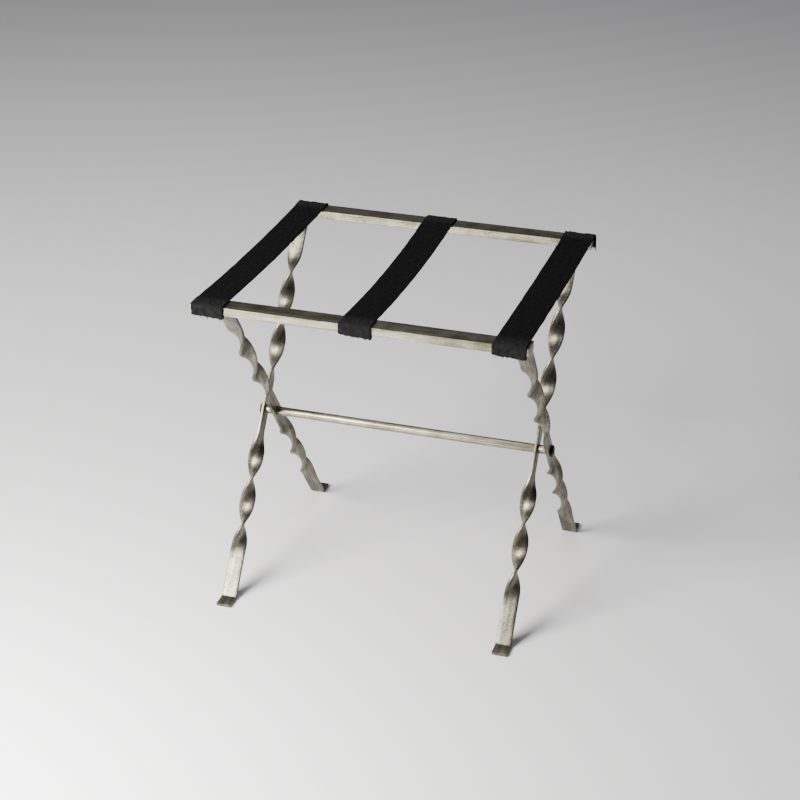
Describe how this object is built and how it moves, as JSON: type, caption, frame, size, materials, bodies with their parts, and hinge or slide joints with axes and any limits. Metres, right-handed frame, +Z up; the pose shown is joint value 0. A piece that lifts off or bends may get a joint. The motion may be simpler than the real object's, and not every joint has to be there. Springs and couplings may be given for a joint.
{
  "type": "luggage rack",
  "caption": "Folding X-frame luggage rack with twisted flat-bar legs, level top rails, a round pivot stretcher and wide webbing straps",
  "frame": {"origin": "on the floor under the middle of the open rack", "axes": "+X runs along the rails to the right as seen from the front, -Y is the front, +Z is up"},
  "size_m": [0.5112, 0.4368, 0.5284],
  "materials": {
    "antique_nickel_steel": "antique nickel plate on hot-rolled flat bar, brushed, with darker tone in the hollows",
    "dark_nickel_steel": "darkened nickel plate, brushed along the rail",
    "black_webbing": "black woven webbing with a tight ribbed face, worn at its ends",
    "black_oxide_steel": "black oxide, satin"
  },
  "bodies": {
    "front_frame": {"front_rail": "dark_nickel_steel", "front_frame_left_leg": "antique_nickel_steel", "front_frame_right_leg": "antique_nickel_steel", "pivot_rod": "black_oxide_steel", "stretcher_tube": "antique_nickel_steel", "left_spacer_sleeve": "antique_nickel_steel", "right_spacer_sleeve": "antique_nickel_steel", "left_pivot_nut": "black_oxide_steel", "right_pivot_nut": "black_oxide_steel", "left_strap_front_wrap": "black_webbing", "left_strap_front_screw_a": "black_oxide_steel", "left_strap_front_screw_b": "black_oxide_steel", "middle_strap_front_wrap": "black_webbing", "middle_strap_front_screw_a": "black_oxide_steel", "middle_strap_front_screw_b": "black_oxide_steel", "right_strap_front_wrap": "black_webbing", "right_strap_front_screw_a": "black_oxide_steel", "right_strap_front_screw_b": "black_oxide_steel"},
    "rear_frame": {"rear_rail": "dark_nickel_steel", "rear_frame_left_leg": "antique_nickel_steel", "rear_frame_right_leg": "antique_nickel_steel", "left_strap_rear_wrap": "black_webbing", "left_strap_rear_screw_a": "black_oxide_steel", "left_strap_rear_screw_b": "black_oxide_steel", "middle_strap_rear_wrap": "black_webbing", "middle_strap_rear_screw_a": "black_oxide_steel", "middle_strap_rear_screw_b": "black_oxide_steel", "right_strap_rear_wrap": "black_webbing", "right_strap_rear_screw_a": "black_oxide_steel", "right_strap_rear_screw_b": "black_oxide_steel"},
    "straps_front": {"left_strap_front_half": "black_webbing", "middle_strap_front_half": "black_webbing", "right_strap_front_half": "black_webbing"},
    "straps_rear": {"left_strap_rear_half": "black_webbing", "middle_strap_rear_half": "black_webbing", "right_strap_rear_half": "black_webbing"}
  },
  "joints": [
    {"name": "fold", "type": "hinge", "parent": "front_frame", "child": "rear_frame", "pos_m": [0, 0, 0.251], "axis": [1, 0, 0], "range_deg": [0, 56], "deforming": ["left_strap_front_half", "middle_strap_front_half", "right_strap_front_half", "left_strap_rear_half", "middle_strap_rear_half", "right_strap_rear_half"]},
    {"name": "strap_front_drop", "type": "hinge", "parent": "front_frame", "child": "straps_front", "pos_m": [0, -0.186, 0.5262], "axis": [1, 0, 0], "range_deg": [-52, 0]},
    {"name": "strap_rear_drop", "type": "hinge", "parent": "rear_frame", "child": "straps_rear", "pos_m": [0, 0.186, 0.5262], "axis": [1, 0, 0], "range_deg": [0, 52]}
  ],
  "couplings": [
    {"joint": "strap_front_drop", "follows": "fold", "ratio": -0.9275},
    {"joint": "strap_rear_drop", "follows": "fold", "ratio": 0.9275}
  ]
}
